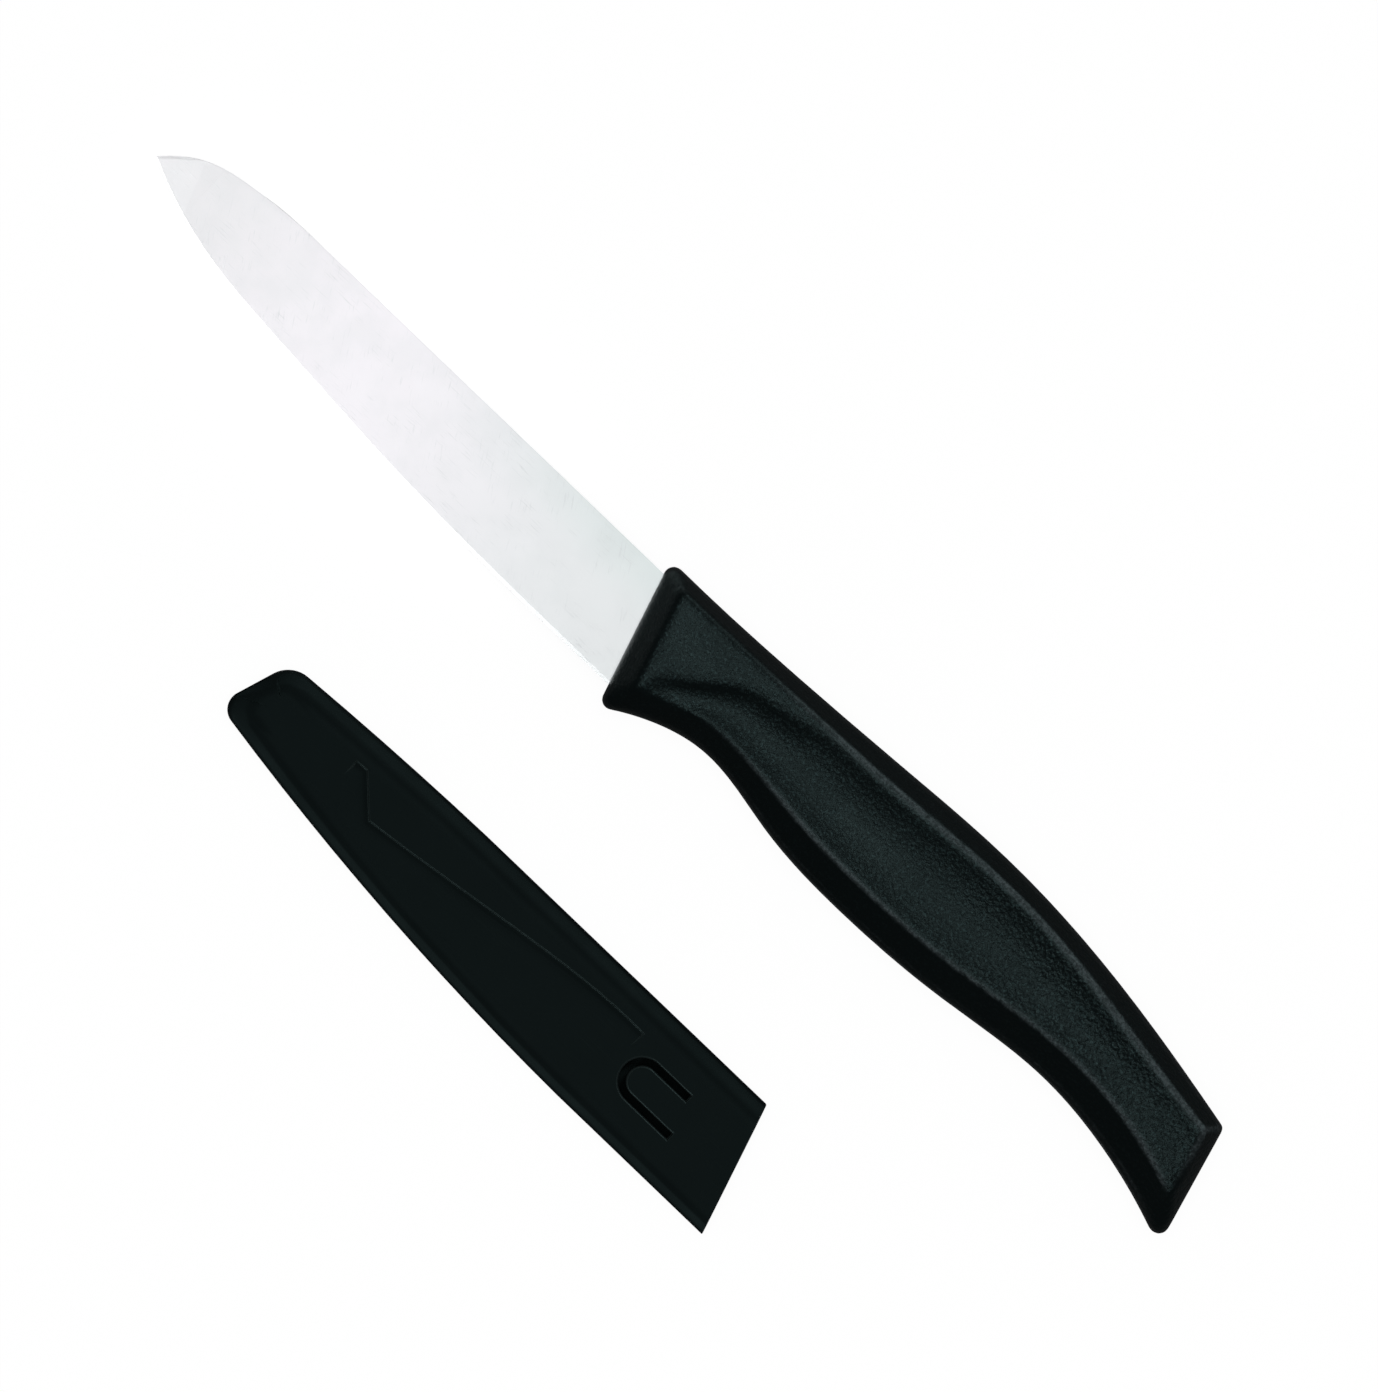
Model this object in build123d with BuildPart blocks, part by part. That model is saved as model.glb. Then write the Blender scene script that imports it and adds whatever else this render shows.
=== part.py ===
from build123d import *
import os
from math import cos, radians, sqrt, tan

# A paring knife lying on its side with its blade guard pulled off beside it.
# Outlines are drawn in the knife's own directions: x runs from the tip of the blade to the
# butt of the handle, y from the cutting edge up to the spine, and z is measured from the
# middle of the steel. The line y = 0 passes through the tip. Sizes are in millimetres.

# Blade: a flat-ground strip of steel
blade_length = 99.4
spine_height = 7.5
edge_depth = 10.0
spine_thickness = 1.4
shoulder_thickness = 0.3
sharpened_width = 0.5
spine_land = 0.35
tip_spine_angle = 46.0
tip_edge_angle = 27.0

# Tang: the narrow end of the same strip, cast into the handle
heel_cover = 2.5
tang_length = 64.0
tang_width = 9.0
tang_centre = 1.0
key_hole = 4.5
key_hole_spacing = 30.0
key_hole_setback = 14.0

# Handle: one moulding around the tang
handle_length = 115.75
hump_height = 12.3
belly_depth = 12.9
handle_thickness = 13.0
rim_height = 5.0
front_lean = 17.3
butt_lean = 14.9
front_bevel = 3.6
butt_bevel = 2.4
front_spine_radius = 1.6
front_belly_radius = 1.5
butt_spine_radius = 0.9
butt_belly_radius = 1.6
crest_corner_radius = 0.5
rim_softening = 0.6
dish_lip = 0.4

# Blade guard: a flat sheath, drawn around the blade as it sits when pushed home
guard_thickness = 5.2
guard_rim_height = 3.4
guard_mouth_gap = 0.4
guard_spine_wall = 1.55
guard_edge_wall = 0.95
guard_tip_reach = 2.5
guard_tip_lean = 17.8
guard_spine_band = 4.2
guard_edge_band = 3.7
guard_tip_band = 3.6
guard_tip_spine_radius = 4.5
guard_tip_edge_radius = 2.8
guard_rim_softening = 0.6
guard_face_radius = 0.9
slot_clearance = 0.25
step_depth = 0.35
step_ramp = 2.6

# Spring tongue in the guard's wall, freed by a U-shaped slot
tongue_slot = 1.1
tongue_radius = 3.0
tongue_centre = -1.0
tongue_root = 11.4
tongue_length = 7.5
bump_radius = 1.5
bump_height = 0.4
bump_taper = 30.0

# Resting places: the guard lies beside the cutting edge, as far along as it was pulled
guard_pull = 66.5
guard_sidestep = 48.0

# Overrun of every cut past the material that it removes
overrun = 1.0

# Outlines as shares, point by point: the first of the length, the second of the height
spine_curve_shares = [(0.060, 0.620), (0.150, 0.905)]
spine_straight_share = 0.28
land_rise_share = 0.5
edge_curve_shares = [(0.119, 0.440), (0.327, 0.735), (0.565, 0.920)]
handle_spine_shares = [
    (0.187, 0.829), (0.368, 0.923), (0.549, 1.000), (0.722, 0.902), (0.877, 0.675),
]
handle_belly_shares = [
    (0.087, 0.791), (0.174, 0.574), (0.299, 0.729), (0.437, 0.814),
    (0.610, 0.725), (0.765, 0.574), (0.903, 0.702),
]
spine_crest_shares = [
    (0.221, 0.646), (0.411, 0.699), (0.575, 0.772), (0.696, 0.699), (0.834, 0.496),
]
belly_crest_shares = [
    (0.087, 0.442), (0.174, 0.248), (0.299, 0.333), (0.437, 0.395),
    (0.610, 0.298), (0.765, 0.155), (0.903, 0.267),
]
guard_spine_middle_shares = (0.180, 0.935)
guard_spine_straight_share = 0.46
guard_edge_middle_shares = (0.317, 0.795)
guard_edge_straight_share = 0.73
guard_tip_spine_share = 0.828
guard_tip_edge_share = 0.366
step_shares = [
    (0.171, 0.533), (0.192, 0.547), (0.246, -0.147),
    (0.368, 0.053), (0.548, 0.387), (0.678, 0.560), (0.761, 0.573),
]

# Soft edge of the guard: how far in, as a share of its width, its middle crease lies
soft_crease_share = 0.29

# Step across the guard's face: where its ramp bends, as shares of its width and its depth
ramp_middle_shares = (0.38, 0.32)

# Corners of the handle's rim and of its raised crests: share of the hump's height, then
# share of the belly's depth
front_corner_shares = (0.793, 1.055)
butt_corner_shares = (0.467, 1.062)
crest_front_shares = (0.626, 0.605)
crest_butt_shares = (0.300, 0.558)

# Dished grip panel: each place along the handle, then the panel's border on the spine side,
# its border on the belly side, and its depth as a share of half the handle's thickness
dish_shares = [
    (0.060, -0.512, 0.698, 0.023), (0.071, -0.276, 0.667, 0.070), (0.095, -0.130, 0.574, 0.123),
    (0.141, 0.203, 0.403, 0.154), (0.192, 0.398, 0.372, 0.169), (0.251, 0.512, 0.419, 0.177),
    (0.316, 0.598, 0.481, 0.177), (0.437, 0.646, 0.535, 0.177), (0.567, 0.715, 0.512, 0.169),
    (0.696, 0.642, 0.349, 0.146), (0.834, 0.439, 0.310, 0.108), (0.938, 0.317, 0.481, 0.069),
    (1.030, 0.160, 0.700, 0.046),
]


def points_at(shares, length, height):
    """Turn shares of a length and a height into points."""
    return [(length * along, height * across) for along, across in shares]


def handle_points(shares, height):
    """Turn shares of the handle's length and a height into points."""
    return [(blade_length + handle_length * along, height * across) for along, across in shares]


def corner_heights(shares):
    """Turn shares of the hump's height and of the belly's depth into two heights."""
    return hump_height * shares[0], -belly_depth * shares[1]


def front_x(y, inset=0):
    """Place of the handle's leaning front at a height, moved in by an inset."""
    return blade_length - y * tan(radians(front_lean)) + inset / cos(radians(front_lean))


def butt_x(y, inset=0):
    """Place of the handle's leaning butt at a height, moved in by an inset."""
    return blade_length + handle_length - y * tan(radians(butt_lean)) - inset / cos(radians(butt_lean))


def round_corners(sketch, corners):
    """Round an open sketch at each point by its own radius."""
    for point, radius in corners:
        fillet(sketch.vertices().sort_by_distance(point)[0], radius=radius)


# Places that follow from the sizes
overall_length = butt_x(butt_belly_radius - belly_depth)
guard_spine_height = spine_height + slot_clearance + guard_spine_wall
guard_edge_depth = edge_depth + slot_clearance + guard_edge_wall
axis_y = (guard_sidestep + guard_edge_depth - hump_height) / 2
knife_plane = Plane(origin=(-overall_length / 2, axis_y, handle_thickness / 2))
guard_plane = Plane(
    origin=(guard_pull - overall_length / 2, axis_y - guard_sidestep, guard_thickness / 2)
)
slot_height = spine_thickness + 2 * slot_clearance
tongue_x = front_x(tongue_centre, -guard_mouth_gap) - tongue_root - tongue_length


def blade_face(edge_inset=0, spine_inset=0):
    """Face of the blade up to its covered heel, its two long sides moved in by insets."""
    depth = edge_depth - edge_inset
    height = spine_height - spine_inset
    tip = (edge_inset, 0)
    straight_start = (blade_length * spine_straight_share, height)
    heel_spine = (front_x(height, heel_cover), height)
    heel_edge = (front_x(-depth, heel_cover), -depth)
    spine_start = Vector(1, 0).rotate(Axis.Z, tip_spine_angle)
    edge_end = Vector(-1, 0).rotate(Axis.Z, -tip_edge_angle)
    spine_points = points_at(spine_curve_shares, blade_length, height)
    edge_points = points_at(reversed(edge_curve_shares), blade_length, -depth)
    with BuildSketch() as face:
        with BuildLine():
            Spline(tip, *spine_points, straight_start, tangents=[spine_start, (1, 0)])
            Line(straight_start, heel_spine)
            Line(heel_spine, heel_edge)
            Spline(heel_edge, *edge_points, tip, tangents=[(-1, 0), edge_end])
        make_face()
    return face.sketch


def spine_land_face():
    """Face of the narrow strip along the spine that keeps the steel's full thickness."""
    start, middle = points_at(spine_curve_shares, blade_length, spine_height)
    straight_x = blade_length * spine_straight_share
    low = spine_height - spine_land
    with BuildSketch() as face:
        with BuildLine():
            Spline(start, middle, (straight_x, spine_height), tangents=[(1, land_rise_share), (1, 0)])
            Line((straight_x, spine_height), (front_x(spine_height, heel_cover), spine_height))
            Line((front_x(spine_height, heel_cover), spine_height), (front_x(low, heel_cover), low))
            under = [(2 * straight_x, low), (straight_x, low), (middle[0], middle[1] - spine_land)]
            Spline((front_x(low, heel_cover), low), *under, start)
        make_face()
    return face.sketch


def between(first, second, share):
    """Place part of the way from one number, point or list of points to another."""
    if isinstance(first, (list, tuple)):
        return [between(start, end, share) for start, end in zip(first, second)]
    return first + (second - first) * share


def handle_face(share):
    """Face inside the handle's outline, from its rim at a share of 0 to its crests at 1."""
    rim_radii = (front_spine_radius, front_belly_radius, butt_spine_radius, butt_belly_radius)
    radii = between(rim_radii, [crest_corner_radius] * 4, share)
    spine_points = handle_points(between(handle_spine_shares, spine_crest_shares, share), hump_height)
    belly_points = handle_points(between(handle_belly_shares, belly_crest_shares, share), -belly_depth)
    front_spine_y, front_belly_y = corner_heights(between(front_corner_shares, crest_front_shares, share))
    butt_spine_y, butt_belly_y = corner_heights(between(butt_corner_shares, crest_butt_shares, share))
    front_spine = (front_x(front_spine_y, front_bevel * share), front_spine_y)
    front_belly = (front_x(front_belly_y, front_bevel * share), front_belly_y)
    butt_spine = (butt_x(butt_spine_y, butt_bevel * share), butt_spine_y)
    butt_belly = (butt_x(butt_belly_y, butt_bevel * share), butt_belly_y)
    with BuildSketch() as face:
        with BuildLine():
            Spline(front_spine, *spine_points, butt_spine)
            Line(butt_spine, butt_belly)
            Spline(butt_belly, *reversed(belly_points), front_belly)
            Line(front_belly, front_spine)
        make_face()
        round_corners(face, zip((front_spine, front_belly, butt_spine, butt_belly), radii))
    return face.sketch


def dish_face(spine_border, belly_border, depth):
    """Cross-section of the dish: the arc of its floor, closed above the handle's side."""
    half_chord = (spine_border - belly_border) / 2
    centre = (spine_border + belly_border) / 2
    radius = (half_chord**2 + depth**2) / (2 * depth)
    full_depth = depth + dish_lip
    half_width = sqrt(2 * radius * full_depth - full_depth**2)
    level = handle_thickness / 2
    spine_end = (centre + half_width, level + dish_lip)
    belly_end = (centre - half_width, level + dish_lip)
    with BuildSketch() as face:
        with BuildLine():
            ThreePointArc(spine_end, (centre, level - depth), belly_end)
            Line(belly_end, spine_end)
        make_face()
    return face.sketch


def guard_face(spine_inset, edge_inset, tip_inset, radii):
    """Face inside one outline of the guard, its three closed sides moved in by insets."""
    height = guard_spine_height - spine_inset
    depth = guard_edge_depth - edge_inset
    lean = tan(radians(guard_tip_lean))
    end_x = tip_inset / cos(radians(guard_tip_lean)) - guard_tip_reach
    tip_spine_y = guard_spine_height * guard_tip_spine_share - spine_inset
    tip_edge_y = edge_inset - guard_edge_depth * guard_tip_edge_share
    tip_spine = (end_x + tip_spine_y * lean, tip_spine_y)
    tip_edge = (end_x + tip_edge_y * lean, tip_edge_y)
    mouth_spine = (front_x(height, -guard_mouth_gap), height)
    mouth_edge = (front_x(-depth, -guard_mouth_gap), -depth)
    spine_straight = (blade_length * guard_spine_straight_share, height)
    edge_straight = (blade_length * guard_edge_straight_share, -depth)
    spine_along, spine_across = guard_spine_middle_shares
    edge_along, edge_across = guard_edge_middle_shares
    spine_middle = (blade_length * spine_along, guard_spine_height * spine_across - spine_inset)
    edge_middle = (blade_length * edge_along, edge_inset - guard_edge_depth * edge_across)
    with BuildSketch() as face:
        with BuildLine():
            ThreePointArc(tip_spine, spine_middle, spine_straight)
            Line(spine_straight, mouth_spine)
            Line(mouth_spine, mouth_edge)
            Line(mouth_edge, edge_straight)
            ThreePointArc(edge_straight, edge_middle, tip_edge)
            Line(tip_edge, tip_spine)
        make_face()
        round_corners(face, zip((tip_spine, tip_edge), radii))
    return face.sketch


def guard_rim_face(inset):
    """Face inside the guard's outermost outline, all its closed sides moved in alike."""
    radii = (guard_tip_spine_radius - inset, guard_tip_edge_radius - inset)
    return guard_face(inset, inset, inset, radii)


def tongue_line():
    """Middle line of the U-shaped slot, its legs running towards the mouth."""
    top = tongue_centre + tongue_radius
    low = tongue_centre - tongue_radius
    with BuildLine() as line:
        Line((front_x(top, -guard_mouth_gap) - tongue_root, top), (tongue_x, top))
        ThreePointArc((tongue_x, top), (tongue_x - tongue_radius, tongue_centre), (tongue_x, low))
        Line((tongue_x, low), (front_x(low, -guard_mouth_gap) - tongue_root, low))
    return line.line


os.makedirs("parts", exist_ok=True)

# Blade: each side rises from the sharp edge over the sharpened bevel to the ground face and
# the strip of full thickness along the spine
with BuildPart() as blade:
    with BuildSketch(knife_plane):
        add(blade_face())
    with BuildSketch(knife_plane.offset(shoulder_thickness / 2)):
        add(blade_face(sharpened_width))
    with BuildSketch(knife_plane.offset(spine_thickness / 2)):
        add(spine_land_face())
    loft(ruled=True)
    mirror(about=knife_plane)
    with BuildSketch(knife_plane.offset(-spine_thickness / 2)):
        heel_top = tang_centre + tang_width / 2
        heel_low = tang_centre - tang_width / 2
        tang_end = blade_length + tang_length
        with BuildLine():
            Polyline(
                (front_x(heel_top, heel_cover), heel_top),
                (tang_end, heel_top),
                (tang_end, heel_low),
                (front_x(heel_low, heel_cover), heel_low),
                close=True,
            )
        make_face()
        with Locations((tang_end - key_hole_setback, tang_centre)):
            Circle(key_hole / 2, mode=Mode.SUBTRACT)
        with Locations((tang_end - key_hole_setback - key_hole_spacing, tang_centre)):
            Circle(key_hole / 2, mode=Mode.SUBTRACT)
    extrude(amount=spine_thickness)
blade.part.label = "blade"

# Handle: one half is a rim, a softened edge, bevels up to the crests, and the dish scooped
# out between them
with BuildPart() as handle:
    bevel_height = (handle_thickness - rim_height) / 2
    soft_share = rim_softening / bevel_height
    with BuildSketch(knife_plane):
        add(handle_face(0))
    extrude(amount=rim_height / 2 - rim_softening)
    with BuildSketch(knife_plane.offset(rim_height / 2 - rim_softening)):
        add(handle_face(0))
    with BuildSketch(knife_plane.offset(rim_height / 2 + rim_softening)):
        add(handle_face(soft_share))
    with BuildSketch(knife_plane.offset(handle_thickness / 2)):
        add(handle_face(1))
    loft(ruled=True)
    for along, spine_share, belly_share, depth_share in dish_shares:
        station = knife_plane.origin + Vector(blade_length + handle_length * along, 0, 0)
        with BuildSketch(Plane(origin=station, x_dir=(0, 1, 0), z_dir=(1, 0, 0))):
            spine_border = spine_share * hump_height
            belly_border = -belly_share * belly_depth
            add(dish_face(spine_border, belly_border, depth_share * handle_thickness / 2))
    loft(mode=Mode.SUBTRACT)
    mirror(about=knife_plane)
    add(blade.part, mode=Mode.SUBTRACT)
handle.part.label = "handle"

# Blade guard: a slab with soft side bands, hollow for the blade
with BuildLine(guard_plane.offset(guard_thickness / 2)) as step_path:
    step_points = points_at(step_shares, blade_length, spine_height)
    Polyline(*step_points[:3])
    Spline(*step_points[2:])
step_start = Plane(origin=step_path.line @ 0, x_dir=(0, -1, 0), z_dir=step_path.line % 0 * -1)
with BuildSketch(step_start) as step_ramp_section:
    with BuildLine():
        ramp_middle = (step_ramp * ramp_middle_shares[0], -step_depth * ramp_middle_shares[1])
        Polyline((0, overrun), (0, -step_depth), ramp_middle, (step_ramp, 0), (step_ramp, overrun))
        Line((step_ramp, overrun), (0, overrun))
    make_face()
with BuildPart() as blade_guard:
    soft = guard_rim_softening
    crease = soft * soft_crease_share
    bevel_rise = (guard_thickness - guard_rim_height) / 2 * soft / guard_spine_band
    with BuildSketch(guard_plane):
        add(guard_rim_face(0))
    extrude(amount=guard_rim_height / 2 - soft)
    with BuildSketch(guard_plane.offset(guard_rim_height / 2 - soft)):
        add(guard_rim_face(0))
    with BuildSketch(guard_plane.offset(guard_rim_height / 2 - crease)):
        add(guard_rim_face(crease))
    with BuildSketch(guard_plane.offset(guard_rim_height / 2 + bevel_rise)):
        add(guard_rim_face(soft))
    with BuildSketch(guard_plane.offset(guard_thickness / 2)):
        face_radii = [guard_face_radius] * 2
        add(guard_face(guard_spine_band, guard_edge_band, guard_tip_band, face_radii))
    loft(ruled=True)
    sweep(
        step_ramp_section.sketch, path=step_path.line, transition=Transition.RIGHT, mode=Mode.SUBTRACT
    )
    mirror(about=guard_plane)
    with BuildSketch(guard_plane.offset(-slot_height / 2)):
        add(blade_face(-slot_clearance, -slot_clearance))
    extrude(amount=slot_height, mode=Mode.SUBTRACT)
    with BuildSketch(guard_plane):
        with BuildLine():
            add(tongue_line())
        trace(line_width=tongue_slot)
    extrude(amount=guard_thickness, mode=Mode.SUBTRACT)
    with BuildSketch(guard_plane.offset(slot_height / 2 - bump_height)):
        with Locations((tongue_x, tongue_centre)):
            Circle(bump_radius)
    extrude(amount=bump_height + overrun, taper=-bump_taper)
blade_guard.part.label = "blade_guard"

export_step(blade.part, "parts/blade.step")
export_step(handle.part, "parts/handle.step")
export_step(blade_guard.part, "parts/blade_guard.step")
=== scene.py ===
"""A paring knife and its pulled-off blade guard, dressed for a pale studio table."""

import logging
import math
from collections.abc import Iterable
from dataclasses import dataclass, field
from enum import Enum

import bmesh
import bpy
from mathutils import Matrix, Vector


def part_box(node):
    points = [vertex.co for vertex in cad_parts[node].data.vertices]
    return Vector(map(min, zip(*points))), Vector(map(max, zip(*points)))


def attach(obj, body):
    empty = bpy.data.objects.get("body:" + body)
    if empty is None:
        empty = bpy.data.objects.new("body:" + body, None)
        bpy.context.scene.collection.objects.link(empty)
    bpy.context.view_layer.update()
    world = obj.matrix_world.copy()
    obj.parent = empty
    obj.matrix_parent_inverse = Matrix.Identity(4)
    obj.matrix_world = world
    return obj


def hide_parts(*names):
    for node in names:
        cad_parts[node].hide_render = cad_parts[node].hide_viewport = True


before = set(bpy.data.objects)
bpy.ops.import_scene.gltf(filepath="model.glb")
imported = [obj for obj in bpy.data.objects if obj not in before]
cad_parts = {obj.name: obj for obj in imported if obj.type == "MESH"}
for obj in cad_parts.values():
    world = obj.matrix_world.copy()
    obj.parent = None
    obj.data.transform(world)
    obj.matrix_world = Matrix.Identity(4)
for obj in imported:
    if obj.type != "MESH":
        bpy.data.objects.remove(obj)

LOG = logging.getLogger("paring_knife")

Color = tuple[float, float, float]
Point = tuple[float, float, float]
Span = tuple[float, float]
Socket = bpy.types.NodeSocket
Value = Socket | float | str | tuple[float, ...] | bpy.types.Material

# A millimetre in metres. Lengths in the classes below are in millimetres unless they say metres.
MM = 0.001
# Loose corners that lie this near to each other, in millimetres, are one.
WELD_REACH = 0.002
# The colour sockets of a Mix node, whose names its number sockets share.
MIX_INPUTS = (0, 6, 7)
MIX_RESULT = 2
WHITE = (1.0, 1.0, 1.0, 1.0)
FADE = (1.0, 0.0)
# The stored share of the crests' painted highlight.
CREST_HIGHLIGHT = "crest_highlight"


def tone(color: Color) -> tuple[float, float, float, float]:
    """Turn a display colour into the linear colour that shaders take.

    Args:
        color: red, green and blue of the display colour, from 0 to 255.

    Returns:
        The linear colour, opaque.
    """
    shares = (part / 255 for part in color)
    linear = (
        share / 12.92 if share <= 0.04045 else ((share + 0.055) / 1.055) ** 2.4 for share in shares
    )
    return (*linear, 1.0)


def metres(lengths: Iterable[float]) -> tuple[float, ...]:
    """Turn lengths in millimetres into metres.

    Args:
        lengths: the lengths in millimetres.

    Returns:
        The same lengths in metres.
    """
    return tuple(length * MM for length in lengths)


class Sheen(Enum):
    """The roughness of a moulded or ground surface."""

    DULL = 0.78
    SATIN = 0.58
    RUBBED = 0.36
    MATT = 0.34
    GROUND = 0.31


@dataclass
class Graph:
    """A node tree and the short calls that fill it."""

    tree: bpy.types.NodeTree

    def add(self, kind: str, **settings: object) -> bpy.types.Node:
        """Add a node.

        Args:
            kind: the node's type name.
            settings: its properties, by name.

        Returns:
            The new node.
        """
        node = self.tree.nodes.new(kind)
        for name, value in settings.items():
            setattr(node, name, value)
        return node

    def fill(self, sockets: Iterable[Socket], values: Iterable[Value]) -> None:
        """Set or link sockets one after another.

        Args:
            sockets: the sockets to fill.
            values: for each of them a value or the socket to link from.
        """
        for socket, value in zip(sockets, values):
            if isinstance(value, Socket):
                self.tree.links.new(value, socket)
            else:
                socket.default_value = value

    def put(self, node: bpy.types.Node, **inputs: Value) -> bpy.types.Node:
        """Set or link a node's inputs, named with underscores for spaces.

        Args:
            node: the node to fill.
            inputs: values, colours or the sockets to link from.

        Returns:
            The same node.
        """
        self.fill([node.inputs[name.replace("_", " ")] for name in inputs], inputs.values())
        return node

    def calc(
        self, operation: str, first: Value, second: Value = 0.0, clamp: bool = False
    ) -> Socket:
        """Work out a number.

        Args:
            operation: the Math node's operation.
            first, second: numbers or sockets.
            clamp: keep the result from 0 to 1.

        Returns:
            The socket of the result.
        """
        node = self.add("ShaderNodeMath", operation=operation, use_clamp=clamp)
        self.fill(node.inputs, (first, second))
        return node.outputs[0]

    def remap(self, value: Socket, span: Span, to: Span = (0.0, 1.0)) -> Socket:
        """Stretch a value from one span to another, with soft ends.

        Args:
            value: the socket to stretch.
            span: the span that it has.
            to: the span that it gets.

        Returns:
            The socket of the result.
        """
        node = self.add("ShaderNodeMapRange", interpolation_type="SMOOTHSTEP")
        self.put(node, Value=value, From_Min=span[0], From_Max=span[1], To_Min=to[0], To_Max=to[1])
        return node.outputs["Result"]

    def blend(self, share: Value, first: Value, second: Value) -> Socket:
        """Mix two colours.

        Args:
            share: the socket or number that gives the second colour's part.
            first, second: colours or sockets.

        Returns:
            The socket of the mixed colour.
        """
        node = self.add("ShaderNodeMix", data_type="RGBA")
        self.fill([node.inputs[place] for place in MIX_INPUTS], (share, first, second))
        return node.outputs[MIX_RESULT]

    def split(self, vector: Socket) -> dict[str, Socket]:
        """Take a vector apart.

        Args:
            vector: the socket to take apart.

        Returns:
            The sockets of its parts, named X, Y and Z.
        """
        node = self.put(self.add("ShaderNodeSeparateXYZ"), Vector=vector)
        return {part.name: part for part in node.outputs}

    def noise(self, **inputs: Value) -> bpy.types.Node:
        """Add a noise texture.

        Args:
            inputs: its inputs, as put takes them.

        Returns:
            The noise's node.
        """
        return self.put(self.add("ShaderNodeTexNoise"), **inputs)

    def bump(self, **inputs: Value) -> Socket:
        """Add a bump.

        Args:
            inputs: its inputs, as put takes them.

        Returns:
            The socket of its normal.
        """
        return self.put(self.add("ShaderNodeBump"), **inputs).outputs["Normal"]


def shader_group(
    name: str, inputs: dict[str, float], outputs: tuple[str, ...]
) -> tuple[Graph, dict[str, Socket], bpy.types.Node]:
    """Start a shader node group whose vector input is the place on the piece.

    Args:
        name: the group's name.
        inputs: its number inputs with their first values.
        outputs: its value outputs.

    Returns:
        The group's graph, the sockets of its inputs by name, and the node of its outputs.
    """
    tree = bpy.data.node_groups.new(name, "ShaderNodeTree")
    tree.interface.new_socket("Place", in_out="INPUT", socket_type="NodeSocketVector")
    for label, value in inputs.items():
        socket = tree.interface.new_socket(label, in_out="INPUT", socket_type="NodeSocketFloat")
        socket.default_value = value
    for label in outputs:
        tree.interface.new_socket(label, in_out="OUTPUT", socket_type="NodeSocketFloat")
    graph = Graph(tree)
    source = {socket.name: socket for socket in graph.add("NodeGroupInput").outputs}
    return graph, source, graph.add("NodeGroupOutput")


@dataclass(frozen=True)
class MouldedGrain:
    """A moulded leather grain: soft pebbles with a finer tooth on them."""

    name: str = "moulded_grain"
    pebble: float = 0.6
    pebble_softness: float = 0.6
    swirl_scale: float = 900.0
    swirl_detail: float = 2.0
    swirl_reach: float = 0.4
    fineness: float = 0.16
    tooth_detail: float = 3.0
    tooth_roughness: float = 0.65

    def build(self) -> bpy.types.NodeTree:
        """Build the group.

        Returns:
            The group, whose outputs are Height and Tooth.
        """
        sizes = {"Pebble": self.pebble, "Fineness": self.fineness}
        graph, source, result = shader_group(self.name, sizes, ("Height", "Tooth"))
        place = source["Place"]
        swirl = graph.noise(Vector=place, Scale=self.swirl_scale, Detail=self.swirl_detail)
        shift = graph.add("ShaderNodeVectorMath", operation="MULTIPLY_ADD")
        graph.fill(shift.inputs, (swirl.outputs["Color"], metres([self.swirl_reach] * 3), place))
        pebble = graph.put(
            graph.add("ShaderNodeTexVoronoi", feature="SMOOTH_F1"), Vector=shift.outputs[0],
            Smoothness=self.pebble_softness, Scale=graph.calc("DIVIDE", 1 / MM, source["Pebble"]),
        )
        tooth = graph.noise(
            Vector=place, Detail=self.tooth_detail, Roughness=self.tooth_roughness,
            Scale=graph.calc("DIVIDE", 1 / MM, source["Fineness"]),
        )
        height = graph.calc("SUBTRACT", 1.0, pebble.outputs["Distance"])
        graph.put(result, Height=height, Tooth=tooth.outputs["Fac"])
        return graph.tree


@dataclass(frozen=True)
class HandlingScuffs:
    """Faint scuffs of use: broken hairlines and a slow cloudiness."""

    name: str = "handling_scuffs"
    length: float = 9.0
    width: float = 0.12
    hair_detail: float = 2.0
    hair_span: Span = (0.58, 0.74)
    gap_scale: float = 160.0
    gap_detail: float = 3.0
    gap_span: Span = (0.42, 0.62)
    cloud_scale: float = 150.0
    cloud_detail: float = 5.0

    def build(self) -> bpy.types.NodeTree:
        """Build the group.

        Returns:
            The group, whose outputs are Lines and Cloud.
        """
        sizes = {"Length": self.length, "Width": self.width}
        graph, source, result = shader_group(self.name, sizes, ("Lines", "Cloud"))
        place = source["Place"]
        parts = graph.split(place)
        along, across = (
            graph.calc("DIVIDE", parts[axis], graph.calc("MULTIPLY", source[size], MM))
            for axis, size in (("X", "Length"), ("Y", "Width"))
        )
        joined = graph.put(graph.add("ShaderNodeCombineXYZ"), X=along, Y=across)
        hair = graph.noise(Vector=joined.outputs[0], Scale=1.0, Detail=self.hair_detail)
        gaps = graph.noise(Vector=place, Scale=self.gap_scale, Detail=self.gap_detail)
        cloud = graph.noise(Vector=place, Scale=self.cloud_scale, Detail=self.cloud_detail)
        lines = graph.remap(hair.outputs["Fac"], self.hair_span)
        broken = graph.calc("MULTIPLY", lines, graph.remap(gaps.outputs["Fac"], self.gap_span))
        graph.put(result, Lines=broken, Cloud=cloud.outputs["Fac"])
        return graph.tree


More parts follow.
